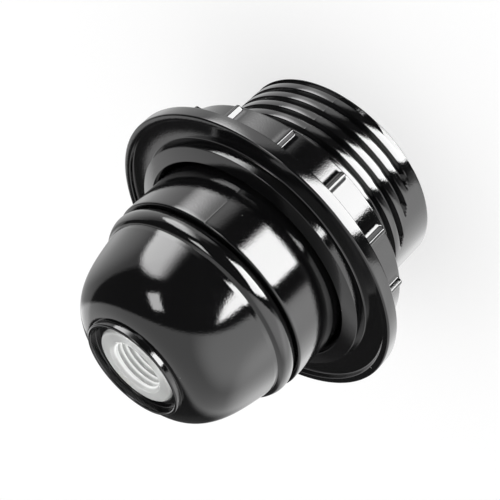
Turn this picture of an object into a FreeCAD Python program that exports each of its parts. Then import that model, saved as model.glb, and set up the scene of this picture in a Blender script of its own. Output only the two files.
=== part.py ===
"""Screw-in lamp holder with a half-threaded barrel, a shade ring and a domed cap, in millimetres.

Z runs along the axis, from the open mouth that takes the lamp (z = 0) to the cable entry at the top.
The moulded black shells are the barrel, the shade ring and the cap. A clear threaded bush carries the
cable entry. Inside, a ceramic block keeps the sprung centre contact, the side contact and the terminals.
"""
import FreeCAD, Part
import math
import os

# barrel: outer skin with the shade thread, mouth and lamp bore
BARREL_R = 19.5
BARREL_TOP = 35.3
MOUTH_R = 16.8
MOUTH_DEPTH = 8.4
LAMP_BORE_R = 13.3
LAMP_BORE_FROM = 10.4
LAMP_BORE_TO = 22.4
RELIEF_R = 13.8
EDGE_ROUND = 0.35

# shade thread on the barrel, with its blank run-out towards the mouth
THREAD_PITCH = 2.5
THREAD_DEPTH = 1.1
THREAD_MOUTH_W = 1.25
THREAD_ROOT_W = 0.5
THREAD_FROM = 2.84
THREAD_TURNS = 8
THREAD_START_DEG = -120.0
BLANK_AT_START = 9.75
BLANK_SLOPE = 1.4
BLANK_REACH = 22.8
BLANK_LOW_Z = -5.0

# neck of the barrel inside the cap, and the chamber for the contact block
NECK_R = 16.2
NECK_TOP = 41.3
CHAMBER_R = 14.6
LEDGE_Z = 26.0
KEY_WIDTH = 4.0
KEY_DEPTH = 3.2
KEY_FIT = 0.15
KEY_INNER_R = 13.45
KEY_OUTER_R = 16.0
KEY_CUT_TOP = 42.5

# shade ring
RING_BORE_R = 19.75
RING_END_Z = 14.4
RING_RIM_Z = 21.35
RING_FACE_Z = 23.75
RING_RIM_R = 28.6
RING_LIP_R = 27.3
SLEEVE_R = 24.15
WEB_R = 27.1
WEB_DROP = 0.7
COLLAR_FOOT_R = 23.4
COLLAR_EDGE_R = 23.0
COLLAR_EDGE_RISE = 1.1
COLLAR_TOP_R = 20.55
COLLAR_TOP_RISE = 1.8
RIB_COUNT = 14
RIB_PHASE_DEG = -92.8
RIB_ROOT_W = 1.64
RIB_CREST_W = 0.6
RIB_HEIGHT = 0.95
RIB_NOSE = 0.8
RIB_SUNK = 0.5

# cap: bead, tapered dome with a round shoulder, lip round the cable entry
CAP_RIM_Z = 35.8
BEAD_R = 19.25
BEAD_TOP = 39.1
BEAD_ROUND = 0.85
BEAD_ROUND_DEG = 70.0
DOME_FOOT_R = 18.25
DOME_FOOT_Z = 39.95
SHOULDER_R = 7.0
SHOULDER_CENTRE_R = 9.39
SHOULDER_CENTRE_Z = 45.83
SHOULDER_TOP_DEG = 88.0
DOME_TAPER_DEG = 15.0
LIP_R = 9.55
LIP_TOP = 53.95
RECESS_R = 8.9
RECESS_Z = 52.6
SKIRT_R = 16.5
CAP_LEDGE_Z = 41.5
CAP_CAVITY_R = 13.4
CAVITY_TOP = 49.9
CAVITY_SHOULDER_Z = 47.4
BOSS_R = 10.1
BOSS_END_Z = 46.3

# clear entry bush
BUSH_R = 7.45
BUSH_FACE_Z = 53.15
BUSH_FLANGE_R = 9.0
BUSH_FLANGE_T = 1.8
BUSH_BORE_R = 4.6
BUSH_CHAMFER = 0.45
BUSH_FIT = 0.05

# ceramic contact block
BLOCK_R = 14.45
BLOCK_TOP = 41.5
TERMINAL_FLOOR_Z = 36.0
TERMINAL_WELL_R = 13.0
BARRIER_X = -6.0
BARRIER_T = 1.2
CONTACT_WELL_R = 12.6
CONTACT_WELL_TOP = 28.2

# sprung centre contact
PIN_R = 2.95
PIN_GUIDE_R = 3.1
PIN_TIP_Z = 25.2
PIN_TIP_ROUND = 0.74
PIN_SHELF_Z = 29.8
PIN_FLANGE_R = 4.15
PIN_FLANGE_T = 1.2
PIN_SPIGOT_R = 1.7
PIN_SPIGOT_L = 1.8
SPRING_BORE_R = 4.4
SPRING_R = 2.75
SPRING_WIRE_R = 0.3
SPRING_TURNS = 3
WIRE_SIDES = 6

# terminal strips, screws, cup washers and rivets
STRIP_T = 0.7
STRIP_TRIM_R = 12.75
STRIP_HEAD_W = 12.0
PHASE_TAIL_X = (-4.5, 7.0)
PHASE_TAIL_W = 5.2
PHASE_HEAD_X = (5.6, 12.0)
SHELL_HEAD_X = (-12.4, -6.7)
PHASE_SCREW = (8.6, 3.1)
PHASE_RIVET = (8.6, -3.4)
SHELL_SCREW = (-8.9, 3.4)
SHELL_RIVET = (-9.2, -3.5)
SCREW_R = 1.5
SCREW_HOLE_R = 1.55
SCREW_HEAD_R = 2.4
SCREW_HEAD_T = 1.9
SCREW_SLOT_W = 0.7
SCREW_SLOT_DEPTH = 0.9
SCREW_LENGTH = 4.6
SCREW_WELL_R = 1.9
SCREW_WELL_Z = 31.6
WASHER_R = 2.7
WASHER_T = 0.8
WASHER_HOLE_R = 1.65
RIVET_R = 1.1
RIVET_HEAD_R = 1.7
RIVET_HEAD_T = 0.7
TONGUE_X = -11.2
TONGUE_W = 4.0
TONGUE_FIT = 0.1
TONGUE_SLOT_W = 4.4
TONGUE_BEND_Z = 27.2
TONGUE_BOW = 0.7
TONGUE_BOW_Z = 24.9
TONGUE_TIP = (-10.6, 23.0)
TONGUE_HEEL = (-11.1, 22.7)


def save(name, shape):
    """Write one piece to its own file."""
    shape.exportStep("parts/" + name + ".step")


def disc(radius, z_from, z_to, x=0.0, y=0.0):
    """Upright cylinder between two heights."""
    return Part.makeCylinder(radius, z_to - z_from, FreeCAD.Vector(x, y, z_from))


def block(x_from, x_to, y_from, y_to, z_from, z_to):
    """Square-edged block between two corners."""
    corner = FreeCAD.Vector(x_from, y_from, z_from)
    return Part.makeBox(x_to - x_from, y_to - y_from, z_to - z_from, corner)


def turned(outline):
    """Revolve a closed outline of (radius, height) points; a pair of points is an arc's middle and end."""
    def vector(point):
        return FreeCAD.Vector(point[0], 0, point[1])

    edges = []
    here = vector(outline[0])
    for step in outline[1:] + [outline[0]]:
        if isinstance(step[0], tuple):
            middle, end = vector(step[0]), vector(step[1])
            edges.append(Part.Arc(here, middle, end).toShape())
        else:
            end = vector(step)
            edges.append(Part.LineSegment(here, end).toShape())
        here = end
    face = Part.Face(Part.Wire(edges))
    return face.revolve(FreeCAD.Vector(0, 0, 0), FreeCAD.Vector(0, 0, 1), 360)


def on_arc(centre, radius, degrees):
    """Point of an arc in the (radius, height) plane, measured up from the outward direction."""
    angle = math.radians(degrees)
    return (centre[0] + radius * math.cos(angle), centre[1] + radius * math.sin(angle))


def rounded(centre, radius, start_deg, end_deg):
    """Middle and end of a round shoulder that starts at start_deg, for turned()."""
    middle_deg = (start_deg + end_deg) / 2
    return (on_arc(centre, radius, middle_deg), on_arc(centre, radius, end_deg))


def thread_groove():
    """Helical cutter for the shade thread, missing where the thread runs out on the blank side."""
    helix = Part.makeHelix(THREAD_PITCH, THREAD_PITCH * THREAD_TURNS, BARREL_R)
    outside = BARREL_R + THREAD_DEPTH
    flare = THREAD_MOUTH_W / 2 + (THREAD_MOUTH_W - THREAD_ROOT_W) / 2
    corners = [
        FreeCAD.Vector(outside, 0, -flare),
        FreeCAD.Vector(BARREL_R - THREAD_DEPTH, 0, -THREAD_ROOT_W / 2),
        FreeCAD.Vector(BARREL_R - THREAD_DEPTH, 0, THREAD_ROOT_W / 2),
        FreeCAD.Vector(outside, 0, flare),
    ]
    profile = Part.makePolygon(corners + [corners[0]])
    groove = Part.Wire(helix).makePipeShell([profile], True, True)
    groove.rotate(FreeCAD.Vector(0, 0, 0), FreeCAD.Vector(0, 0, 1), THREAD_START_DEG)
    lead = THREAD_PITCH * (THREAD_START_DEG + 90) / 360
    groove.translate(FreeCAD.Vector(0, 0, THREAD_FROM + lead))
    return groove.cut(thread_blank())


def thread_blank():
    """Wedge on the -X side of the barrel, behind a sloping plane, that keeps the thread's start blank."""
    height = (BLANK_REACH - BLANK_AT_START) / BLANK_SLOPE
    near = BLANK_AT_START + BLANK_SLOPE * (BLANK_LOW_Z - THREAD_FROM)
    corners = [
        FreeCAD.Vector(-near, -BLANK_REACH, BLANK_LOW_Z),
        FreeCAD.Vector(-BLANK_REACH, -BLANK_REACH, BLANK_LOW_Z),
        FreeCAD.Vector(-BLANK_REACH, -BLANK_REACH, THREAD_FROM + height),
    ]
    face = Part.Face(Part.makePolygon(corners + [corners[0]]))
    return face.extrude(FreeCAD.Vector(0, 2 * BLANK_REACH, 0))


def key_slot(width, sign):
    """Slot or lug across the wall of the chamber, on the Y axis, that stops the contact block turning."""
    y_from, y_to = sorted([sign * KEY_INNER_R, sign * KEY_OUTER_R])
    return block(-width / 2, width / 2, y_from, y_to, NECK_TOP - KEY_DEPTH, KEY_CUT_TOP)


def barrel():
    """Moulded barrel: skirted mouth, lamp bore, ledge and chamber for the block, and neck for the cap."""
    inset = EDGE_ROUND
    shell = turned([
        (BARREL_R - inset, 0),
        (BARREL_R, inset),
        (BARREL_R, BARREL_TOP - inset),
        (BARREL_R - inset, BARREL_TOP),
        (NECK_R, BARREL_TOP),
        (NECK_R, NECK_TOP),
        (CHAMBER_R, NECK_TOP),
        (CHAMBER_R, LEDGE_Z),
        (RELIEF_R, LEDGE_Z),
        (RELIEF_R, LAMP_BORE_TO),
        (LAMP_BORE_R, LAMP_BORE_TO),
        (LAMP_BORE_R, LAMP_BORE_FROM),
        (MOUTH_R, MOUTH_DEPTH),
        (MOUTH_R, inset),
        (MOUTH_R + inset, 0),
    ])
    shell = shell.cut(thread_groove())
    for sign in (-1, 1):
        shell = shell.cut(key_slot(KEY_WIDTH, sign))
    return shell


def grip_rib():
    """One tapering grip rib on the +X side of the sleeve, with its end sloped back to the sleeve's edge."""
    foot_r = SLEEVE_R - RIB_SUNK
    crest_r = SLEEVE_R + RIB_HEIGHT
    start_z = RING_END_Z + EDGE_ROUND
    end_z = RING_RIM_Z + RIB_SUNK
    section = [
        FreeCAD.Vector(foot_r, -RIB_ROOT_W / 2, start_z),
        FreeCAD.Vector(SLEEVE_R, -RIB_ROOT_W / 2, start_z),
        FreeCAD.Vector(crest_r, -RIB_CREST_W / 2, start_z),
        FreeCAD.Vector(crest_r, RIB_CREST_W / 2, start_z),
        FreeCAD.Vector(SLEEVE_R, RIB_ROOT_W / 2, start_z),
        FreeCAD.Vector(foot_r, RIB_ROOT_W / 2, start_z),
    ]
    side = [
        FreeCAD.Vector(foot_r, -RIB_ROOT_W, start_z),
        FreeCAD.Vector(SLEEVE_R, -RIB_ROOT_W, start_z),
        FreeCAD.Vector(crest_r, -RIB_ROOT_W, start_z + RIB_NOSE),
        FreeCAD.Vector(crest_r, -RIB_ROOT_W, end_z),
        FreeCAD.Vector(foot_r, -RIB_ROOT_W, end_z),
    ]
    bar = Part.Face(Part.makePolygon(section + [section[0]])).extrude(FreeCAD.Vector(0, 0, end_z - start_z))
    plate = Part.Face(Part.makePolygon(side + [side[0]])).extrude(FreeCAD.Vector(0, 2 * RIB_ROOT_W, 0))
    return bar.common(plate)


def shade_ring():
    """Shade ring: threaded sleeve with grip ribs, thin rim band and a raised collar round the barrel."""
    inset = EDGE_ROUND
    web_z = RING_FACE_Z - WEB_DROP
    ring = turned([
        (RING_BORE_R, RING_END_Z),
        (SLEEVE_R - inset, RING_END_Z),
        (SLEEVE_R, RING_END_Z + inset),
        (SLEEVE_R, RING_RIM_Z),
        (RING_RIM_R - inset, RING_RIM_Z),
        (RING_RIM_R, RING_RIM_Z + inset),
        (RING_RIM_R, RING_FACE_Z - inset),
        (RING_RIM_R - inset, RING_FACE_Z),
        (RING_LIP_R, RING_FACE_Z),
        (WEB_R, web_z),
        (COLLAR_FOOT_R, web_z),
        (COLLAR_EDGE_R, RING_FACE_Z + COLLAR_EDGE_RISE),
        (COLLAR_TOP_R, RING_FACE_Z + COLLAR_TOP_RISE),
        (RING_BORE_R, RING_FACE_Z + COLLAR_EDGE_RISE),
    ])
    rib = grip_rib()
    ribs = []
    for index in range(RIB_COUNT):
        turn = rib.copy()
        angle = RIB_PHASE_DEG + 360.0 * index / RIB_COUNT
        turn.rotate(FreeCAD.Vector(0, 0, 0), FreeCAD.Vector(0, 0, 1), angle)
        ribs.append(turn)
    return ring.fuse(ribs).removeSplitter()


def cap():
    """Domed cap: skirt over the neck, bead, tapering dome, and a lip and boss for the entry bush."""
    shoulder = (SHOULDER_CENTRE_R, SHOULDER_CENTRE_Z)
    bead_round_z = BEAD_TOP - BEAD_ROUND
    lip_round = (LIP_R - RECESS_R) / 3
    inset = EDGE_ROUND
    return turned([
        (SKIRT_R, CAP_RIM_Z),
        (BEAD_R - inset, CAP_RIM_Z),
        (BEAD_R, CAP_RIM_Z + inset),
        (BEAD_R, bead_round_z),
        rounded((BEAD_R - BEAD_ROUND, bead_round_z), BEAD_ROUND, 0, BEAD_ROUND_DEG),
        (DOME_FOOT_R, DOME_FOOT_Z),
        on_arc(shoulder, SHOULDER_R, DOME_TAPER_DEG),
        rounded(shoulder, SHOULDER_R, DOME_TAPER_DEG, SHOULDER_TOP_DEG),
        (LIP_R, LIP_TOP - lip_round),
        (LIP_R - lip_round, LIP_TOP),
        (RECESS_R + lip_round, LIP_TOP),
        (RECESS_R, LIP_TOP - lip_round),
        (RECESS_R, RECESS_Z),
        (BUSH_R + BUSH_FIT, RECESS_Z),
        (BUSH_R + BUSH_FIT, BOSS_END_Z),
        (BOSS_R, BOSS_END_Z),
        (BOSS_R, CAVITY_TOP),
        (CAP_CAVITY_R, CAVITY_SHOULDER_Z),
        (CAP_CAVITY_R, CAP_LEDGE_Z),
        (SKIRT_R, CAP_LEDGE_Z),
    ])


def entry_bush():
    """Clear bush of the cable entry, held behind the cap's boss by its inner flange."""
    lead_in = BUSH_CHAMFER
    flange_z = BOSS_END_Z - BUSH_FLANGE_T
    return turned([
        (BUSH_BORE_R + lead_in, flange_z),
        (BUSH_FLANGE_R, flange_z),
        (BUSH_FLANGE_R, BOSS_END_Z),
        (BUSH_R, BOSS_END_Z),
        (BUSH_R, BUSH_FACE_Z - lead_in),
        (BUSH_R - lead_in, BUSH_FACE_Z),
        (BUSH_BORE_R + lead_in, BUSH_FACE_Z),
        (BUSH_BORE_R, BUSH_FACE_Z - lead_in),
        (BUSH_BORE_R, flange_z + lead_in),
    ])


def contact_block():
    """Ceramic block: keyed body with a terminal well above and a contact well below."""
    body = disc(BLOCK_R, LEDGE_Z, BLOCK_TOP)
    for sign in (-1, 1):
        lug = key_slot(KEY_WIDTH - 2 * KEY_FIT, sign)
        body = body.fuse(lug.common(disc(KEY_OUTER_R, NECK_TOP - KEY_DEPTH + KEY_FIT, NECK_TOP)))
    well = disc(TERMINAL_WELL_R, TERMINAL_FLOOR_Z, BLOCK_TOP)
    barrier = block(BARRIER_X, BARRIER_X + BARRIER_T, -BLOCK_R, BLOCK_R, TERMINAL_FLOOR_Z, BLOCK_TOP)
    body = body.cut(well.cut(barrier))
    body = body.cut(disc(CONTACT_WELL_R, LEDGE_Z, CONTACT_WELL_TOP))
    body = body.cut(disc(PIN_GUIDE_R, CONTACT_WELL_TOP, PIN_SHELF_Z))
    body = body.cut(disc(SPRING_BORE_R, PIN_SHELF_Z, TERMINAL_FLOOR_Z))
    for x, y in (PHASE_SCREW, SHELL_SCREW):
        body = body.cut(disc(SCREW_WELL_R, SCREW_WELL_Z, TERMINAL_FLOOR_Z, x, y))
    for x, y in (PHASE_RIVET, SHELL_RIVET):
        body = body.cut(disc(RIVET_R, CONTACT_WELL_TOP, TERMINAL_FLOOR_Z, x, y))
    half = TONGUE_SLOT_W / 2
    x_from, x_to = TONGUE_X - STRIP_T - TONGUE_FIT, TONGUE_X + TONGUE_FIT
    slot = block(x_from, x_to, -half, half, CONTACT_WELL_TOP, TERMINAL_FLOOR_Z)
    return body.cut(slot)


def centre_contact():
    """Brass contact pin with a flange that the spring presses on to the block's shelf."""
    flange_top = PIN_SHELF_Z + PIN_FLANGE_T
    return turned([
        (0, PIN_TIP_Z),
        (PIN_R - PIN_TIP_ROUND, PIN_TIP_Z),
        (PIN_R, PIN_TIP_Z + PIN_TIP_ROUND),
        (PIN_R, PIN_SHELF_Z),
        (PIN_FLANGE_R, PIN_SHELF_Z),
        (PIN_FLANGE_R, flange_top),
        (PIN_SPIGOT_R, flange_top),
        (PIN_SPIGOT_R, flange_top + PIN_SPIGOT_L),
        (0, flange_top + PIN_SPIGOT_L),
    ])


def contact_spring():
    """Helical steel spring between the pin's flange and the phase strip."""
    bottom = PIN_SHELF_Z + PIN_FLANGE_T + SPRING_WIRE_R
    rise = TERMINAL_FLOOR_Z - SPRING_WIRE_R - bottom
    helix = Part.makeHelix(rise / SPRING_TURNS, rise, SPRING_R)
    corners = []
    for index in range(WIRE_SIDES + 1):
        across, up = on_arc((SPRING_R, 0), SPRING_WIRE_R, 360.0 * index / WIRE_SIDES)
        corners.append(FreeCAD.Vector(across, 0, up))
    spring = Part.Wire(helix).makePipeShell([Part.makePolygon(corners)], True, True)
    spring.translate(FreeCAD.Vector(0, 0, bottom))
    return spring


def pierced(strip, screw, rivet):
    """Trim a strip's corners to the round well, and cut its screw and rivet holes."""
    low, high = TERMINAL_FLOOR_Z, TERMINAL_FLOOR_Z + STRIP_T
    strip = strip.common(disc(STRIP_TRIM_R, strip.BoundBox.ZMin, high)).removeSplitter()
    strip = strip.cut(disc(SCREW_HOLE_R, low, high, *screw))
    return strip.cut(disc(RIVET_R, low, high, *rivet))


def phase_strip():
    """Brass strip over the spring, widened to carry the phase terminal and its rivet."""
    low, high = TERMINAL_FLOOR_Z, TERMINAL_FLOOR_Z + STRIP_T
    tail = block(*PHASE_TAIL_X, -PHASE_TAIL_W / 2, PHASE_TAIL_W / 2, low, high)
    head = block(*PHASE_HEAD_X, -STRIP_HEAD_W / 2, STRIP_HEAD_W / 2, low, high)
    return pierced(tail.fuse(head), PHASE_SCREW, PHASE_RIVET)


def shell_contact():
    """One brass strip: terminal tab, leg down through the block, and bowed tongue beside the lamp's shell."""
    low, high = TERMINAL_FLOOR_Z, TERMINAL_FLOOR_Z + STRIP_T
    tab = block(*SHELL_HEAD_X, -STRIP_HEAD_W / 2, STRIP_HEAD_W / 2, low, high)
    outer = TONGUE_X - STRIP_T
    corners = [
        (TONGUE_X, high),
        (TONGUE_X, TONGUE_BEND_Z),
        (TONGUE_X - TONGUE_BOW, TONGUE_BOW_Z),
        TONGUE_TIP,
        TONGUE_HEEL,
        (outer - TONGUE_BOW, TONGUE_BOW_Z),
        (outer, TONGUE_BEND_Z),
        (outer, high),
    ]
    points = [FreeCAD.Vector(x, -TONGUE_W / 2, z) for x, z in corners]
    leg = Part.Face(Part.makePolygon(points + [points[0]])).extrude(FreeCAD.Vector(0, TONGUE_W, 0))
    return pierced(tab.fuse(leg), SHELL_SCREW, SHELL_RIVET)


def rivet(place):
    """Rivet that clamps a strip to the block, with a head above and a closed head in the contact well."""
    x, y = place
    top = TERMINAL_FLOOR_Z + STRIP_T
    shank = disc(RIVET_R, CONTACT_WELL_TOP - RIVET_HEAD_T, top + RIVET_HEAD_T, x, y)
    head = disc(RIVET_HEAD_R, top, top + RIVET_HEAD_T, x, y)
    tail = disc(RIVET_HEAD_R, CONTACT_WELL_TOP - RIVET_HEAD_T, CONTACT_WELL_TOP, x, y)
    return shank.fuse([head, tail]).removeSplitter()


def terminal_screw(place):
    """Slotted cheese-head terminal screw, in place above its washer."""
    x, y = place
    seat = TERMINAL_FLOOR_Z + STRIP_T + WASHER_T
    top = seat + SCREW_HEAD_T
    shank = disc(SCREW_R, seat - SCREW_LENGTH, seat, x, y)
    head = disc(SCREW_HEAD_R, seat, top, x, y)
    half = SCREW_SLOT_W / 2
    slot = block(x - SCREW_HEAD_R, x + SCREW_HEAD_R, y - half, y + half, top - SCREW_SLOT_DEPTH, top)
    return shank.fuse(head).removeSplitter().cut(slot)


def terminal_washer(place):
    """Captive cup washer that presses the bare wire on the strip."""
    x, y = place
    low = TERMINAL_FLOOR_Z + STRIP_T
    ring = disc(WASHER_R, low, low + WASHER_T, x, y)
    return ring.cut(disc(WASHER_HOLE_R, low, low + WASHER_T, x, y))


def main():
    os.makedirs("parts", exist_ok=True)
    save("barrel", barrel())
    save("shade_ring", shade_ring())
    save("cap", cap())
    save("entry_bush", entry_bush())
    save("contact_block", contact_block())
    save("centre_contact", centre_contact())
    save("contact_spring", contact_spring())
    save("phase_strip", phase_strip())
    save("shell_contact", shell_contact())
    terminals = {"phase": (PHASE_SCREW, PHASE_RIVET), "shell": (SHELL_SCREW, SHELL_RIVET)}
    for side, (screw_place, rivet_place) in terminals.items():
        save(side + "_rivet", rivet(rivet_place))
        save(side + "_terminal_screw", terminal_screw(screw_place))
        save(side + "_terminal_washer", terminal_washer(screw_place))


main()
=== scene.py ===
import math

import bmesh
import bpy
from mathutils import Matrix, Vector, noise


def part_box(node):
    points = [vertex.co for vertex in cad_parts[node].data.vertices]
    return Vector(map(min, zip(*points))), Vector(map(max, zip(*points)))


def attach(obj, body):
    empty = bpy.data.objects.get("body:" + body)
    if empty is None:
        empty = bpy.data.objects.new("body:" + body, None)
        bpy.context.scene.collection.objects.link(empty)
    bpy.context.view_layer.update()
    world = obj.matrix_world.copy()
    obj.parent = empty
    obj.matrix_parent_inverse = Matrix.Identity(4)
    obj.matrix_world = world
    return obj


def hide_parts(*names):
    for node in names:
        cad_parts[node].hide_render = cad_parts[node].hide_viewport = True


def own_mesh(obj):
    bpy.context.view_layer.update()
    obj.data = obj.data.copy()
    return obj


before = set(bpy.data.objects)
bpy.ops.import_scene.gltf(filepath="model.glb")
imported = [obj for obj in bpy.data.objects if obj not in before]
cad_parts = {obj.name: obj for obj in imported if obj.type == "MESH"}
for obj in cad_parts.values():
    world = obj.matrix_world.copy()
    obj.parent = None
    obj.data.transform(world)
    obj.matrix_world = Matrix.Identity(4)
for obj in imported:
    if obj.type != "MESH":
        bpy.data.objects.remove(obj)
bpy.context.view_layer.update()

MM = 0.001

# ---------------------------------------------------------------------------------------------
# Contact block. Steatite ceramic, pressed and fired, so its faces are matt, off-white and finely
# grained. It drops into the barrel's chamber, and two lugs in the neck's slots keep it from turning.


def new_finish(name, colour, roughness, sockets=()):
    """Start a finish: the shader's own sockets hold every value that is the same all over."""
    material = bpy.data.materials.new(name)
    material.use_nodes = True
    shader = material.node_tree.nodes["Principled BSDF"]
    shader.inputs["Base Color"].default_value = (*colour, 1.0)
    shader.inputs["Roughness"].default_value = roughness
    for socket, value in dict(sockets).items():
        shader.inputs[socket].default_value = value
    return material


def node(material, kind, **settings):
    """Add one node and set its properties and unlinked inputs."""
    made = material.node_tree.nodes.new(kind)
    for key, value in settings.items():
        if key in made.bl_rna.properties:
            setattr(made, key, value)
        else:
            made.inputs[key.replace("_", " ")].default_value = value
    return made


def join(material, output, target):
    material.node_tree.links.new(output, target)


def grain(material, size_mm, detail=3.0, stretch=(1, 1, 1)):
    """Noise on the piece itself; size_mm is how far apart its blotches lie."""
    place = node(material, "ShaderNodeTexCoord")
    scale = node(material, "ShaderNodeMapping")
    scale.inputs["Scale"].default_value = stretch
    cloud = node(material, "ShaderNodeTexNoise", Scale=1 / (size_mm * MM), Detail=detail)
    join(material, place.outputs["Object"], scale.inputs["Vector"])
    join(material, scale.outputs["Vector"], cloud.inputs["Vector"])
    return cloud.outputs["Fac"]


def blend_colours(material, share, first, second, low=0.35, high=0.65):
    """Two colours, mixed by a noise between its low and high shares, into the base colour."""
    ramp = node(material, "ShaderNodeValToRGB")
    ramp.color_ramp.elements[0].position, ramp.color_ramp.elements[1].position = low, high
    ramp.color_ramp.elements[0].color = (*first, 1.0)
    ramp.color_ramp.elements[1].color = (*second, 1.0)
    join(material, share, ramp.inputs["Fac"])
    join(material, ramp.outputs["Color"], material.node_tree.nodes["Principled BSDF"].inputs["Base Color"])
    return ramp.outputs["Color"]


def spread(material, share, low, high, bottom=0.3, top=0.7):
    """A noise turned into a number between low and high."""
    span = node(material, "ShaderNodeMapRange")
    for socket, value in (("From Min", bottom), ("From Max", top), ("To Min", low), ("To Max", high)):
        span.inputs[socket].default_value = value
    join(material, share, span.inputs["Value"])
    return span.outputs["Result"]


def roughen(material, share, low, high, bottom=0.3, top=0.7):
    """Vary the gloss between two roughnesses."""
    shader = material.node_tree.nodes["Principled BSDF"]
    join(material, spread(material, share, low, high, bottom, top), shader.inputs["Roughness"])


def emboss(material, share, height_mm, strength=1.0):
    """Lay a fine relief of the given height over whatever relief is there already."""
    shader = material.node_tree.nodes["Principled BSDF"]
    relief = node(material, "ShaderNodeBump", Strength=strength, Distance=height_mm * MM)
    join(material, share, relief.inputs["Height"])
    for link in list(shader.inputs["Normal"].links):
        join(material, link.from_socket, relief.inputs["Normal"])
    join(material, relief.outputs["Normal"], shader.inputs["Normal"])


def paint(material, *names):
    """Give carried-over nodes their finish."""
    for name in names:
        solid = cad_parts[name]
        solid.data.materials.clear()
        solid.data.materials.append(material)


steatite = new_finish("steatite", (0.78, 0.75, 0.68), 0.55, {"IOR": 1.55})
blend_colours(steatite, grain(steatite, 0.9, 6), (0.72, 0.69, 0.62), (0.83, 0.81, 0.75))
roughen(steatite, grain(steatite, 0.25), 0.42, 0.68)
emboss(steatite, grain(steatite, 0.12, 4), 0.02)
paint(steatite, "contact_block")

# ---------------------------------------------------------------------------------------------
# Centre contact and its spring. A turned brass pin slides in the block, and a coil of round spring
# steel with flat ends holds it down on the lamp's cap. The coil closes as the pin goes in.

ROUND_STEPS = 5


def arc_corner(before, corner, after, radius):
    """Points that replace one corner of an outline by an arc of the given radius."""
    if radius <= 0:
        return [tuple(corner)]
    corner = Vector(corner)
    inward, outward = Vector(before) - corner, Vector(after) - corner
    half = inward.angle(outward) / 2
    reach = min(radius / math.tan(half), 0.49 * inward.length, 0.49 * outward.length)
    radius = reach * math.tan(half)
    start, end = corner + inward.normalized() * reach, corner + outward.normalized() * reach
    middle = corner + (inward.normalized() + outward.normalized()).normalized() * (radius / math.sin(half))
    points = []
    for step in range(ROUND_STEPS + 1):
        spoke = (start - middle).lerp(end - middle, step / ROUND_STEPS).normalized() * radius
        points.append(tuple(middle + spoke))
    return points


def outline_of(corners):
    """Closed (radius, height) outline in millimetres from corners that each say their own rounding."""
    points = []
    for index, (r, z, rounding) in enumerate(corners):
        before, after = corners[index - 1][:2], corners[(index + 1) % len(corners)][:2]
        points += arc_corner(before, (r, z), after, rounding)
    return points


def settle(mesh, name, material, body, crease_deg=35):
    """Close up a mesh: no loose points, faces outward, smooth between its creases, painted, and riding
    on its body."""
    loose = [v for v in mesh.verts if not v.link_faces]
    bmesh.ops.delete(mesh, geom=loose, context="VERTS")
    bmesh.ops.remove_doubles(mesh, verts=mesh.verts, dist=1e-7)
    bmesh.ops.dissolve_degenerate(mesh, edges=mesh.edges, dist=1e-7)
    bmesh.ops.recalc_face_normals(mesh, faces=mesh.faces)
    for face in mesh.faces:
        face.smooth = True
    for edge in mesh.edges:
        edge.smooth = edge.is_manifold and edge.calc_face_angle() < math.radians(crease_deg)
    data = bpy.data.meshes.new(name)
    mesh.to_mesh(data)
    mesh.free()
    piece = bpy.data.objects.new(name, data)
    bpy.context.scene.collection.objects.link(piece)
    data.materials.append(material)
    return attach(piece, body)


def point(mesh, r, a, z):
    """One vertex at a radius, angle and height, in millimetres and radians."""
    return mesh.verts.new((r * MM * math.cos(a), r * MM * math.sin(a), z * MM))


def ring_of(mesh, angles, r, z):
    """One ring of vertices at a radius and height, or a single one on the axis."""
    if r < 1e-6:
        return [point(mesh, 0, 0, z)]
    return [point(mesh, r, a, z) for a in angles]


def skin(mesh, first, second, skip=()):
    """Faces between two rings that have the same angles."""
    count = max(len(first), len(second))
    for k in range(count):
        if k in skip:
            continue
        corners = [first[k % len(first)], first[(k + 1) % len(first)],
                   second[(k + 1) % len(second)], second[k % len(second)]]
        corners = [v for i, v in enumerate(corners) if v not in corners[:i]]
        if len(corners) > 2:
            mesh.faces.new(corners)


def even_angles(count):
    return [2 * math.pi * k / count for k in range(count)]


def turned(name, corners, material, body, count=128):
    """A piece turned or moulded round the axis from its rounded outline."""
    mesh = bmesh.new()
    angles = even_angles(count)
    rings = [ring_of(mesh, angles, r, z) for r, z in outline_of(corners)]
    for first, second in zip(rings, rings[1:] + rings[:1]):
        if len(first) + len(second) > 2:
            skin(mesh, first, second)
    return settle(mesh, name, material, body)


def low_mm(name):
    return [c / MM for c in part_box(name)[0]]


def high_mm(name):
    return [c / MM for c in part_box(name)[1]]


brass = new_finish("brass", (0.79, 0.60, 0.28), 0.25, {"Metallic": 1.0})
blend_colours(brass, grain(brass, 1.2, 5), (0.70, 0.50, 0.22), (0.86, 0.68, 0.36))
roughen(brass, grain(brass, 0.4, 5), 0.16, 0.38)
emboss(brass, grain(brass, 0.10), 0.004)

pin_low, pin_high = low_mm("centre_contact"), high_mm("centre_contact")
pin_r, pin_tip_r, pin_tip_length, pin_flange_r = 2.95, 2.36, 1.1, pin_high[0]
pin_shelf, pin_flange_t, pin_spigot_r = 29.8, 1.2, 1.7
pin = turned("contact_pin", [
    (0, pin_low[2], 0),
    (pin_tip_r, pin_low[2], 1.2),
    (pin_r, pin_low[2] + pin_tip_length, 0.8),
    (pin_r, pin_shelf, 0.08),
    (pin_flange_r, pin_shelf, 0.1),
    (pin_flange_r, pin_shelf + pin_flange_t, 0.15),
    (pin_spigot_r, pin_shelf + pin_flange_t, 0.1),
    (pin_spigot_r, pin_high[2], 0.3),
    (0, pin_high[2], 0),
], brass, "centre_contact", 64)
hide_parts("centre_contact")

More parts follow.
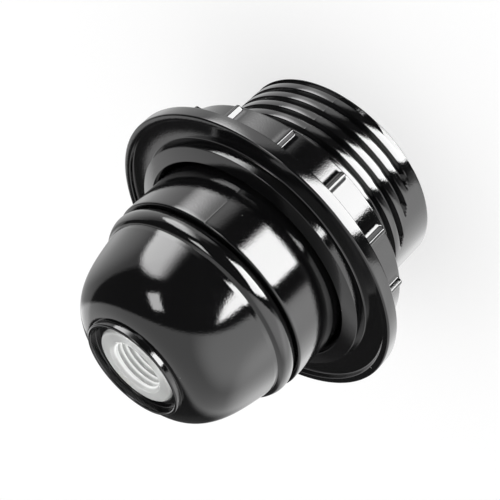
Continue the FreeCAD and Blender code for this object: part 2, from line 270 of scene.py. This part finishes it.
spring_steel = new_finish("spring_steel", (0.55, 0.56, 0.58), 0.22, {"Metallic": 1.0})
roughen(spring_steel, grain(spring_steel, 0.3, 4), 0.15, 0.34)
blend_colours(spring_steel, grain(spring_steel, 0.8), (0.46, 0.47, 0.49), (0.62, 0.63, 0.65))


def coil_spring(name, radius, wire_r, bottom, top, turns, material, body):
    """Round wire wound in a coil whose first and last turns lie flat, with squared-off wire ends."""
    mesh = bmesh.new()
    steps, sides, flat_turns = 48, 12, 0.4
    rings = []
    for k in range(int(turns * steps) + 1):
        wound = k / steps
        risen = min(1.0, max(0.0, (wound - flat_turns) / (turns - 2 * flat_turns)))
        z = bottom + wire_r + (top - bottom - 2 * wire_r) * risen
        a = 2 * math.pi * wound
        ring = []
        for b in even_angles(sides):
            r = radius + wire_r * math.cos(b)
            ring.append(point(mesh, r, a, z + wire_r * math.sin(b)))
        rings.append(ring)
    for first, second in zip(rings, rings[1:]):
        skin(mesh, first, second)
    mesh.faces.new(rings[0])
    mesh.faces.new(rings[-1])
    return settle(mesh, name, material, body)


coil_low, coil_high = low_mm("contact_spring"), high_mm("contact_spring")
coil_wire_r, coil_turns = 0.3, 4
coil = coil_spring("coil_spring", coil_high[0] - coil_wire_r, coil_wire_r, coil_low[2], coil_high[2],
                   coil_turns, spring_steel, "holder")
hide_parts("contact_spring")
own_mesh(coil)

# ---------------------------------------------------------------------------------------------
# Terminal strips, rivets, washers and screws. The strips are blanked from brass sheet, the rivets are
# brass too, and the cheese-head screws and cup washers are zinc-plated steel.

strips_and_rivets = ("phase_strip", "shell_contact", "phase_rivet", "shell_rivet")
screws_and_washers = ("phase_terminal_screw", "shell_terminal_screw",
                      "phase_terminal_washer", "shell_terminal_washer")
paint(brass, *strips_and_rivets)
plated_steel = new_finish("plated_steel", (0.66, 0.67, 0.68), 0.28, {"Metallic": 1.0})
blend_colours(plated_steel, grain(plated_steel, 1.0, 4), (0.58, 0.59, 0.61), (0.72, 0.72, 0.71))
roughen(plated_steel, grain(plated_steel, 0.2, 4), 0.2, 0.42)
emboss(plated_steel, grain(plated_steel, 0.08), 0.003)
paint(plated_steel, *screws_and_washers)

edge_ease = 0.08
for name in (*strips_and_rivets, "contact_block", *screws_and_washers):
    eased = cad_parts[name].modifiers.new("eased_edges", "BEVEL")
    eased.width = edge_ease * MM
    eased.segments = 2
    eased.limit_method = "ANGLE"
    eased.angle_limit = math.radians(40)

# ---------------------------------------------------------------------------------------------
# Barrel. Compression-moulded in black thermoset, with the shade thread outside, its blank run-out,
# the knuckle thread for the lamp inside, a thin flash line along its side and a slightly chipped mouth.


def threaded_wall(mesh, angles, radius, pitch, shape, start, low, high, depth_at):
    """Open wall with a helical form cut in it, trimmed flat at two heights; gives back its two end rings.
    shape lists (share of the pitch, depth) and start is the height of its zero at angle zero."""
    rows = []
    first_turn = math.floor((low - start) / pitch) - 2
    last_turn = math.ceil((high - start) / pitch) + 1
    for turn in range(first_turn, last_turn):
        for share, depth in shape:
            row = []
            for a in angles:
                z = start + pitch * (turn + share + a / (2 * math.pi))
                row.append(point(mesh, radius - depth * depth_at(a, z), a, z))
            rows.append(row)
    faces = []
    for k, (lower, upper) in enumerate(zip(rows, rows[1:])):
        for j in range(len(angles) - 1):
            faces.append(mesh.faces.new((lower[j], lower[j + 1], upper[j + 1], upper[j])))
        if k + len(shape) + 1 < len(rows):
            wrap_low, wrap_high = rows[k + len(shape)][0], rows[k + len(shape) + 1][0]
            faces.append(mesh.faces.new((lower[-1], wrap_low, wrap_high, upper[-1])))
    ends = []
    for height, side in ((low, -1), (high, 1)):
        wall = [f for f in faces if f.is_valid]
        edges = list({e for f in wall for e in f.edges})
        verts = list({v for f in wall for v in f.verts})
        cut = bmesh.ops.bisect_plane(mesh, geom=wall + edges + verts, plane_co=(0, 0, height * MM),
                                     plane_no=(0, 0, side), clear_outer=True)
        faces = [g for g in cut["geom"] if isinstance(g, bmesh.types.BMFace) and g.is_valid]
        ring = [g for g in cut["geom_cut"] if isinstance(g, bmesh.types.BMVert) and g.is_valid]
        ends.append(ring)
    return [sorted((v for v in ring if v.is_valid), key=angle_of) for ring in ends]


def angle_of(vert):
    return math.atan2(vert.co.y, vert.co.x) % (2 * math.pi)


def zip_rings(mesh, first, second):
    """Triangles between two rings whose angles differ."""
    i = j = 0
    while i < len(first) or j < len(second):
        next_first = angle_of(first[i + 1]) if i + 1 < len(first) else 7.0 + (i + 1 - len(first))
        next_second = angle_of(second[j + 1]) if j + 1 < len(second) else 7.0 + (j + 1 - len(second))
        a, b = first[i % len(first)], second[j % len(second)]
        if j >= len(second) or (i < len(first) and next_first <= next_second):
            mesh.faces.new((a, first[(i + 1) % len(first)], b))
            i += 1
        else:
            mesh.faces.new((a, second[(j + 1) % len(second)], b))
            j += 1


def carry_on(mesh, ring, points):
    """Lead a ring's own angles on through (radius, height) points; gives back every ring."""
    angles = [angle_of(v) for v in ring]
    rings = [ring]
    for r, z in points:
        rings.append(ring_of(mesh, angles, r, z))
        skin(mesh, rings[-2], rings[-1])
    return rings


def open_outline(corners):
    """Rounded outline between two ends that stay sharp."""
    points = [corners[0][:2]]
    for before, (r, z, rounding), after in zip(corners, corners[1:], corners[2:]):
        points += arc_corner(before[:2], (r, z), after[:2], rounding)
    return points + [corners[-1][:2]]


def ease(share):
    share = min(1.0, max(0.0, share))
    return share * share * (3 - 2 * share)


black_moulding = new_finish("black_moulding", (0.0035, 0.0035, 0.0038), 0.06, {"IOR": 1.53})
roughen(black_moulding, grain(black_moulding, 0.9, 6), 0.03, 0.09)
emboss(black_moulding, grain(black_moulding, 5.0, 2), 0.012)
emboss(black_moulding, grain(black_moulding, 0.3, 3), 0.009)
shell_tone = blend_colours(black_moulding, grain(black_moulding, 4.0, 5),
                           (0.003, 0.003, 0.0032), (0.0045, 0.0045, 0.0048), 0.0, 1.0)


def dust(material, tone, colour, spacing_mm, largest):
    """Scatter dust specks over a tone, sparser in some parts than in others."""
    place = node(material, "ShaderNodeTexCoord")
    specks = node(material, "ShaderNodeTexVoronoi", Scale=1 / (spacing_mm * MM))
    join(material, place.outputs["Object"], specks.inputs["Vector"])
    inside = node(material, "ShaderNodeMath", operation="LESS_THAN")
    join(material, specks.outputs["Distance"], inside.inputs[0])
    join(material, spread(material, grain(material, 6.0, 2), 0.0, largest, 0.45, 0.75), inside.inputs[1])
    dusted = node(material, "ShaderNodeMix", data_type="RGBA")
    share, clean, dirty = (dusted.inputs[k] for k in (0, 6, 7))
    dirty.default_value = (*colour, 1.0)
    join(material, inside.outputs["Value"], share)
    join(material, tone, clean)
    join(material, dusted.outputs[2], material.node_tree.nodes["Principled BSDF"].inputs["Base Color"])


dust(black_moulding, shell_tone, (0.22, 0.22, 0.21), 3.4, 0.055)

barrel_r, neck_top = high_mm("barrel")[0], high_mm("barrel")[2]
neck_r, chamber_r, shoulder_z, shoulder_seat, block_ledge_z = 16.2, 14.6, 35.3, 1.2, 26.0
mouth_r, mouth_depth, mouth_seat, lamp_bore_r, relief_r = 16.8, 8.4, 0.6, 13.3, 13.8
lamp_from, lamp_to, lamp_pitch, lamp_depth, lamp_fade = 10.4, 22.4, 3.629, 1.05, 1.2
shade_pitch, shade_depth, shade_low, shade_high = 2.5, 1.1, 2.84, 22.4
blank_reach, blank_slope, blank_fade = 9.75, 1.4, 0.7
plain_end = 0.9
flash_line_deg, flash_half_deg, flash_height = -64.0, 0.3, 0.02
nick_turns, nick_from, nick_depth = 9, 0.05, 0.25
slot_half_deg, slot_floor = 7.5, 38.1

# Share of the pitch and depth, from the middle of a groove to the middle of a crest, then mirrored.
half_groove = [(0.0, shade_depth), (0.085, shade_depth), (0.115, 1.06), (0.14, 0.94),
               (0.235, 0.10), (0.262, 0.02), (0.295, 0.0), (0.5, 0.0)]
shade_groove = half_groove + [(1 - share, depth) for share, depth in reversed(half_groove[1:-1])]


def shade_thread_depth(a, z):
    """Full depth on the thread, nothing on the blank side towards the mouth and past its last turn."""
    reach = blank_reach + blank_slope * (z - shade_low)
    before_blank = (reach + barrel_r * math.cos(a)) / blank_fade
    return ease(before_blank) * ease(shade_high - z + 1)


def knuckle(height, steps=12):
    """Rounded lamp thread, as deep rolls of one even wave."""
    return [(k / steps, height * (0.5 + 0.5 * math.cos(2 * math.pi * k / steps))) for k in range(steps)]


def lamp_thread_depth(a, z):
    return ease((z - lamp_from) / lamp_fade) * ease((lamp_to - z) / lamp_fade)


barrel_angles = set(even_angles(240))
for side_deg in (90, 270):
    for offset in (-slot_half_deg, slot_half_deg):
        barrel_angles.add(math.radians(side_deg + offset))
for offset in (-0.5, -0.22, 0, 0.22, 0.5):
    barrel_angles.add(math.radians(360 + flash_line_deg + offset))
barrel_angles = sorted(barrel_angles)

mesh = bmesh.new()
groove_start = shade_low + shade_pitch / 4
skin_low, skin_high = threaded_wall(mesh, barrel_angles, barrel_r, shade_pitch, shade_groove, groove_start,
                                    plain_end, shoulder_z - plain_end, shade_thread_depth)
bore_low, bore_high = threaded_wall(mesh, even_angles(180), lamp_bore_r, lamp_pitch, knuckle(lamp_depth),
                                    lamp_from, lamp_from, lamp_to, lamp_thread_depth)
mouth = carry_on(mesh, skin_low, open_outline([
    (barrel_r, plain_end, 0), (barrel_r, 0, 0.3), (mouth_r, 0, 0.3), (mouth_r, mouth_depth, 0.6),
    (lamp_bore_r + mouth_seat, lamp_from - 0.4, 0)])[1:])
zip_rings(mesh, mouth[-1], bore_low)
chamber = carry_on(mesh, bore_high, [
    (relief_r, lamp_to), (relief_r, block_ledge_z), (chamber_r, block_ledge_z), (chamber_r, slot_floor)])
angles = [angle_of(v) for v in chamber[-1]]
slots = {k for k, a in enumerate(angles)
         for side in (90, 270) if abs(math.degrees(a) - side) < slot_half_deg - 0.01
         or abs(math.degrees(a) - side + slot_half_deg) < 0.01}
inner_floor = chamber[-1]
inner_top, outer_top, outer_floor = (ring_of(mesh, angles, r, z) for r, z in (
    (chamber_r, neck_top), (neck_r, neck_top), (neck_r, slot_floor)))
skin(mesh, inner_floor, inner_top, slots)
skin(mesh, inner_top, outer_top, slots)
skin(mesh, outer_top, outer_floor, slots)
for k in slots:
    after = (k + 1) % len(angles)
    mesh.faces.new((inner_floor[k], inner_floor[after], outer_floor[after], outer_floor[k]))
    for end, beyond in ((k, k - 1), (after, after)):
        if beyond % len(angles) not in slots:
            mesh.faces.new((inner_floor[end], inner_top[end], outer_top[end], outer_floor[end]))
neck = carry_on(mesh, outer_floor, [(neck_r, shoulder_z)])
shoulder = carry_on(mesh, skin_high, open_outline([
    (barrel_r, shoulder_z - plain_end, 0), (barrel_r, shoulder_z, 0.35),
    (barrel_r - shoulder_seat, shoulder_z, 0)])[1:])
zip_rings(mesh, neck[-1], shoulder[-1])
for vert in mesh.verts:
    a, r = angle_of(vert), math.hypot(vert.co.x, vert.co.y) / MM
    off_flash = abs(math.degrees(a) - 360 - flash_line_deg)
    on_the_skin = r > neck_r + 1.5
    at_the_rim = vert.co.z < 0.12 * MM and r > barrel_r - 0.5
    if off_flash < flash_half_deg and on_the_skin:
        lift = 1 + flash_height * (1 if off_flash < flash_half_deg / 3 else 0.3) / r
        vert.co.x, vert.co.y = vert.co.x * lift, vert.co.y * lift
    if at_the_rim:
        nick = noise.noise(Vector((nick_turns * math.cos(a), nick_turns * math.sin(a), 0)))
        vert.co.z += nick_depth * MM * max(0, nick - nick_from)
moulded_barrel = settle(mesh, "moulded_barrel", black_moulding, "holder")
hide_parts("barrel")

# ---------------------------------------------------------------------------------------------
# Shade ring. A separate black moulding that screws up the barrel's thread to clamp a lampshade: a sleeve
# with grip ribs, a thin rim with a lip round its dished face, and a bevelled collar round the barrel.

ring_low, ring_high = low_mm("shade_ring"), high_mm("shade_ring")
ring_end, collar_top, rim_r = ring_low[2], ring_high[2], ring_high[0]
ring_bore_r, sleeve_r, rim_under, rim_face = 19.75, 24.15, 21.35, 23.75
lip_r, web_drop, collar_foot_r = 27.3, 0.7, 23.4
collar_edge_r, collar_edge_z, collar_top_r = 23.0, 24.85, 20.55
rib_count, rib_phase_deg, rib_end_round = 14, -92.8, 0.5
rib_start, rim_fillet = ring_end + 0.55, 0.3
inner_ridge, inner_thread_low, inner_thread_high, inner_thread_fade = 0.85, ring_end + 0.6, 21.6, 0.8
rib_shape = [(0.0, 0.95), (0.18, 0.95), (0.3, 0.90), (0.40, 0.78), (0.62, 0.18), (0.70, 0.06), (0.82, 0.0)]


def rib_height(offset):
    """Height of a grip rib at a distance from its middle line."""
    offset = abs(offset)
    for (near, high), (far, low) in zip(rib_shape, rib_shape[1:]):
        if offset <= far:
            return high + (low - high) * (offset - near) / (far - near)
    return 0.0


rib_middles = [(rib_phase_deg + 360 * k / rib_count) % 360 for k in range(rib_count)]
ring_angles = []
for middle in rib_middles:
    for offset, _ in rib_shape:
        for sign in (-1, 1):
            ring_angles.append(math.radians(middle + math.degrees(sign * offset / sleeve_r)) % (2 * math.pi))
    for share in range(1, 12):
        ring_angles.append(math.radians(middle + 2.2 + share * (360 / rib_count - 4.4) / 12) % (2 * math.pi))
ring_angles = sorted({round(a, 7) for a in ring_angles})


def sleeve_radius(a, z):
    """Sleeve with its ribs, which start in a round nose near the open end and run into the rim."""
    turn = min(((math.degrees(a) - middle + 180) % 360 - 180 for middle in rib_middles), key=abs)
    across = math.radians(turn) * sleeve_r
    short = max(0.0, rib_start + rib_end_round - z)
    return sleeve_r + rib_height(math.hypot(across, short))


def inner_thread_depth(a, z):
    """Fades the ring's inside thread in and out, short of both ends of its bore."""
    above, below = z - inner_thread_low, inner_thread_high - z
    return ease(above / inner_thread_fade) * ease(below / inner_thread_fade)


mesh = bmesh.new()
ridge = [(share, inner_ridge * max(0.0, depth - 0.15) / shade_depth) for share, depth in shade_groove]
bore_low, bore_high = threaded_wall(mesh, even_angles(180), ring_bore_r, shade_pitch, ridge, groove_start,
                                    ring_end + 0.3, collar_edge_z - 0.3, inner_thread_depth)
end_round = [(ring_bore_r + 0.3, ring_end), (sleeve_r - 0.3, ring_end), (sleeve_r - 0.15, ring_end + 0.04),
             (sleeve_r - 0.04, ring_end + 0.15)]
ring_skin = [ring_of(mesh, ring_angles, r, z) for r, z in end_round]
sleeve_rows = [ring_end + step for step in (0.3, 0.35, 0.5, 0.6, 0.7, 0.8, 0.95, 1.15)]
sleeve_rows += [rim_under - step for step in (5.15, 2.85, 0.75, 0.35, 0.15, 0)]
for z in sleeve_rows:
    above_fillet = max(0.0, z - rim_under + rim_fillet)
    fillet = rim_fillet - math.sqrt(max(0.0, rim_fillet ** 2 - above_fillet ** 2))
    ring_skin.append([point(mesh, sleeve_radius(a, z) + fillet, a, z) for a in ring_angles])
rim = open_outline([
    (sleeve_r + 1.4, rim_under, 0), (rim_r, rim_under, 0.3), (rim_r, rim_face, 0.35), (lip_r, rim_face, 0.22),
    (lip_r - 0.2, rim_face - web_drop, 0.3), (collar_foot_r, rim_face - web_drop, 0.3),
    (collar_edge_r, collar_edge_z, 0.14), (collar_top_r, collar_top, 0.10),
    (ring_bore_r + 0.1, collar_edge_z, 0)])
ring_skin += [ring_of(mesh, ring_angles, r, z) for r, z in rim]
for first, second in zip(ring_skin, ring_skin[1:]):
    skin(mesh, first, second)
zip_rings(mesh, ring_skin[0], bore_low)
zip_rings(mesh, ring_skin[-1], bore_high)
moulded_ring = settle(mesh, "moulded_shade_ring", black_moulding, "ring")
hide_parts("shade_ring")

# ---------------------------------------------------------------------------------------------
# Domed cap. Black moulding that closes the terminal end: a skirt over the barrel's neck, a rounded bead,
# the tapering dome, and a short lip round the cable entry with a boss behind it for the bush.

cap_low, cap_high = low_mm("cap"), high_mm("cap")
bead_r, cap_rim, cap_top = cap_high[0], cap_low[2], cap_high[2]
dome_foot_r, dome_foot_z, dome_length = 18.0, 39.95, 16.58
dome_foot_deg, dome_top_deg, dome_swell = 11.0, 88.0, 2.46
bead_top, bead_swell, bead_crest = 39.1, 0.42, -0.15
entry_lip_r, recess_r, recess_z = 9.55, 8.9, 52.6
bush_hole_r, boss_r, boss_end = 7.5, 10.1, 46.3
skirt_r, cap_ledge, cavity_r, cavity_bend, cavity_top = 16.5, 41.5, 13.4, 47.4, 49.9


def dome_outline(steps):
    """Points up the dome, which leans in ever faster from its foot to the lip."""
    r, z = dome_foot_r, dome_foot_z
    points = []
    for k in range(steps):
        share = (k + 0.5) / steps
        lean = math.radians(dome_foot_deg + (dome_top_deg - dome_foot_deg) * share ** dome_swell)
        r -= dome_length / steps * math.sin(lean)
        z += dome_length / steps * math.cos(lean)
        points.append((r, z, 0))
    return points


def bead_outline(steps):
    """Points up the bead, which is proudest a little below its middle and rounds off to its groove."""
    rim, groove = cap_rim + 0.3, bead_top - 0.2
    points = []
    for k in range(steps + 1):
        share = 2 * k / steps - 1
        sunk = bead_swell * (share - bead_crest) ** 2
        points.append((bead_r - sunk, rim + (groove - rim) * k / steps, 0))
    return points


cap_corners = [
    (skirt_r, cap_rim, 0.2),
    (bead_r - bead_swell, cap_rim, 0.15),
]
cap_corners += bead_outline(16)
cap_corners += [
    (dome_foot_r + 0.08, bead_top + 0.05, 0.12),
    (dome_foot_r, dome_foot_z, 1.2),
]
cap_corners += dome_outline(40)
cap_corners += [
    (entry_lip_r + 0.03, 52.85, 0.25),
    (entry_lip_r, cap_top, 0.3),
    (recess_r, cap_top, 0.3),
    (recess_r, recess_z, 0.15),
    (bush_hole_r, recess_z, 0.1),
    (bush_hole_r, boss_end, 0.1),
    (boss_r, boss_end, 0.3),
    (boss_r, cavity_top, 0.5),
    (cavity_r, cavity_bend, 1.5),
    (cavity_r, cap_ledge, 0.1),
    (skirt_r, cap_ledge, 0.1),
]
moulded_cap = turned("moulded_cap", cap_corners, black_moulding, "cap", 192)
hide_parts("cap")

# ---------------------------------------------------------------------------------------------
# Entry bush. Clear moulded plastic with a fine inside thread for the cable grip or suspension tube,
# pushed through the cap from inside and held by the flange behind it.

# The white emission colour set here feeds a painted glow on the bore's crests, laid on further down.
clear_plastic = new_finish("clear_plastic", (0.97, 0.98, 0.97), 0.05, {
    "IOR": 1.49, "Transmission Weight": 0.55, "Emission Color": (1, 1, 1, 1), "Emission Strength": 0.0})
roughen(clear_plastic, grain(clear_plastic, 0.6, 4), 0.03, 0.12)
emboss(clear_plastic, grain(clear_plastic, 1.5, 3), 0.03)

bush_low, bush_high = low_mm("entry_bush"), high_mm("entry_bush")
bush_r, bush_bore_r, bush_flange_r, bush_face = 7.45, 4.6, bush_high[0], bush_high[2]
bush_pitch, bush_depth, bush_fade, bush_foot_seat, bush_face_seat = 1.0, 0.5, 0.3, 0.35, 0.7
bush_thread_low, bush_thread_high = bush_low[2] + bush_foot_seat, bush_face - bush_face_seat


def painted_glow_near(material, radius, fade, strength):
    """Painted glow: emission on the crests at one radius, standing in for light that the clear plastic
    carries into its bore.
    """
    place = node(material, "ShaderNodeTexCoord")
    level = node(material, "ShaderNodeVectorMath", operation="MULTIPLY")
    level.inputs[1].default_value = (1, 1, 0)
    join(material, place.outputs["Object"], level.inputs[0])
    reach = node(material, "ShaderNodeVectorMath", operation="LENGTH")
    join(material, level.outputs["Vector"], reach.inputs[0])
    glow = spread(material, reach.outputs["Value"], strength, 0.0, radius * MM, (radius + fade) * MM)
    join(material, glow, material.node_tree.nodes["Principled BSDF"].inputs["Emission Strength"])


def bush_thread_depth(a, z):
    """Fades the bush's thread in and out at the two seats of its bore."""
    return ease((z - bush_thread_low) / bush_fade) * ease((bush_thread_high - z) / bush_fade)


# Painted glow: the bore's crests emit a weak light in place of light that the clear plastic carries in.
painted_glow_near(clear_plastic, bush_bore_r + 0.02, 0.28, 0.45)
mesh = bmesh.new()
bore_low, bore_high = threaded_wall(
    mesh, even_angles(128), bush_bore_r, bush_pitch,
    [(share, -depth) for share, depth in knuckle(bush_depth, 8)],
    bush_low[2], bush_thread_low, bush_thread_high, bush_thread_depth)
outside = carry_on(mesh, bore_low, open_outline([
    (bush_bore_r, bush_thread_low, 0), (bush_bore_r + bush_foot_seat, bush_low[2], 0.1),
    (bush_flange_r, bush_low[2], 0.2), (bush_flange_r, boss_end, 0.1), (bush_r, boss_end, 0.05),
    (bush_r, bush_face, 0.55), (bush_bore_r + bush_face_seat, bush_face, 0.3),
    (bush_bore_r + 0.02, bush_thread_high + 0.1, 0)])[1:])
zip_rings(mesh, outside[-1], bore_high)
clear_bush = settle(mesh, "clear_entry_bush", clear_plastic, "cap")
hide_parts("entry_bush")

# ---------------------------------------------------------------------------------------------
# Studio. Plain white light from all round, a pale floor, and a camera that looks down on the cable entry.
# Only reflections see the room: a big softbox, a window, a bank of lamps overhead, walls and a table.
# Its directions are turned right and lifted from the camera's own side, in degrees.

camera = bpy.data.cameras.new("camera")
camera.lens, camera.sensor_width = 115.2, 36
camera.clip_start, camera.clip_end = 0.01, 20
camera_back, camera_above = 237.48, 150.59
viewer = bpy.data.objects.new("camera", camera)
bpy.context.scene.collection.objects.link(viewer)
camera_turn_deg, camera_height_deg, camera_roll_deg = -0.16, 28.19, -134.16
turn, tilt, roll = (math.radians(a) for a in (camera_turn_deg, camera_height_deg, camera_roll_deg))
viewer.location = (0, -camera_back * MM, camera_above * MM)
back = Vector((math.sin(turn) * math.cos(tilt), -math.cos(turn) * math.cos(tilt), math.sin(tilt)))
level_right = Vector((math.cos(turn), math.sin(turn), 0))
right = level_right * math.cos(roll) + back.cross(level_right) * math.sin(roll)
up = back.cross(right)
viewer.rotation_mode = "QUATERNION"
viewer.rotation_quaternion = Matrix((right, up, back)).transposed().to_quaternion()
bpy.context.scene.camera = viewer

pale = new_finish("pale_floor", (0.93, 0.93, 0.93), 0.7)
floor_glow = node(pale, "ShaderNodeEmission", Strength=1.08)
floor_mix = node(pale, "ShaderNodeMixShader", Fac=0.6)
join(pale, pale.node_tree.nodes["Principled BSDF"].outputs["BSDF"], floor_mix.inputs[1])
join(pale, floor_glow.outputs["Emission"], floor_mix.inputs[2])
join(pale, floor_mix.outputs["Shader"], pale.node_tree.nodes["Material Output"].inputs["Surface"])

floor_half = 3.0
mesh = bmesh.new()
floor_corners = ((-1, -1), (1, -1), (1, 1), (-1, 1))
mesh.faces.new([mesh.verts.new((x * floor_half, y * floor_half, 0)) for x, y in floor_corners])
data = bpy.data.meshes.new("floor")
mesh.to_mesh(data)
mesh.free()
floor = bpy.data.objects.new("floor", data)
bpy.context.scene.collection.objects.link(floor)
data.materials.append(pale)
floor.visible_glossy = False
floor.visible_shadow = False

world = bpy.data.worlds.new("studio")
bpy.context.scene.world = world
world.use_nodes = True
world.cycles.sampling_method = "NONE"
seen = node(world, "ShaderNodeTexCoord").outputs["Generated"]


def toward(turn_deg, lift_deg):
    """Direction in the studio: turned right from the camera's own side and lifted from its level."""
    turned_by, lifted_by = math.radians(turn_deg), math.radians(lift_deg)
    return (right * math.sin(turned_by) * math.cos(lifted_by) + up * math.sin(lifted_by)
            + back * math.cos(turned_by) * math.cos(lifted_by))


def arithmetic(operation, first, second):
    """One arithmetic node on two numbers or outputs."""
    made = node(world, "ShaderNodeMath", operation=operation)
    for socket, value in zip(made.inputs, (first, second)):
        if isinstance(value, (int, float)):
            socket.default_value = value
        else:
            join(world, value, socket)
    return made.outputs["Value"]


def along(axis):
    """How far the ray points along one fixed axis."""
    made = node(world, "ShaderNodeVectorMath", operation="DOT_PRODUCT")
    made.inputs[1].default_value = axis
    join(world, seen, made.inputs[0])
    return made.outputs["Value"]


def past(value, edge, softness):
    """Nothing below an edge, everything above it, with a soft step between."""
    step = node(world, "ShaderNodeMapRange", interpolation_type="SMOOTHSTEP")
    step.inputs["From Min"].default_value = edge - softness / 2
    step.inputs["From Max"].default_value = edge + softness / 2
    join(world, value, step.inputs["Value"])
    return step.outputs["Result"]


def within(turn_deg, lift_deg, reach_deg, softness):
    """Everything within an angle of one direction: a round patch, or half the room at 90 degrees."""
    return toward(turn_deg, lift_deg), math.cos(math.radians(reach_deg)), softness


def lit(strength, *sides):
    """Light of one strength where all its sides meet; a side is (axis, edge along it, softness)."""
    light = strength
    for axis, edge, softness in sides:
        light = arithmetic("MULTIPLY", past(along(axis), edge, softness), light)
    return light


def four_sides(turn_deg, lift_deg, half_width_deg, half_height_deg, roll_deg, softness):
    """Sides of a rectangle that faces the part."""
    middle, level = toward(turn_deg, lift_deg), toward(turn_deg + 90, 0)
    tall = middle.cross(level)
    lean = math.radians(roll_deg)
    across = level * math.cos(lean) + tall * math.sin(lean)
    upward = tall * math.cos(lean) - level * math.sin(lean)
    sides = []
    for axis, half_deg in ((across, half_width_deg), (upward, half_height_deg)):
        half = math.radians(half_deg)
        sides += [(middle * math.sin(half) + axis * math.cos(half), 0, softness),
                  (middle * math.sin(half) - axis * math.cos(half), 0, softness)]
    return sides


table_top = within(155.2, -81.5, 81.58, 0.09)
softbox = lit(20, within(125, 0, 90, 0.05), within(20, 0, 90, 0.1), within(0, -90, 132.84, 0.1),
              within(-44.2, 68.8, 90, 0.04))
window = lit(9, *four_sides(-33.5, 15, 7, 11, 12, 0.05))
overhead = lit(9, within(-20, 75, 32.86, 0.05), within(-67, 53, 25.84, 0.14), within(-105, 0, 84.26, 0.4))
ceiling = lit(1.6, within(0, 90, 21.57, 0.08))
wall = lit(0.55, within(148.3, 33.5, 90, 0.08), within(-90, 0, 90, 0.3))
wall_back = lit(0.7, within(-150, 45, 30.68, 0.2))
table = lit(1.1, table_top)
table_near = lit(1.5, within(58, -28, 36.87, 0.36), table_top)
table_right = lit(1.0, within(120, -15, 38.74, 0.2), within(0, -90, 93.44, 0.06))
part_shade = lit(0.95, within(98, -44.8, 93.44, 0.03), within(-155, -30, 30.68, 0.12))
unlit = 0.05
room = unlit
for light in (softbox, window, overhead, ceiling, wall, wall_back, table, table_near, table_right):
    room = arithmetic("ADD", light, room)
room = arithmetic("MULTIPLY", room, arithmetic("SUBTRACT", 1.0, part_shade))

rays = node(world, "ShaderNodeLightPath")
glossy = rays.outputs["Is Glossy Ray"]
plain = arithmetic("SUBTRACT", 1.0, glossy)
strength = arithmetic("ADD", arithmetic("MULTIPLY", room, glossy), plain)
backdrop = world.node_tree.nodes["Background"]
backdrop.inputs["Color"].default_value = (1, 1, 1, 1)
join(world, strength, backdrop.inputs["Strength"])

bpy.context.scene.view_settings.view_transform = "Standard"
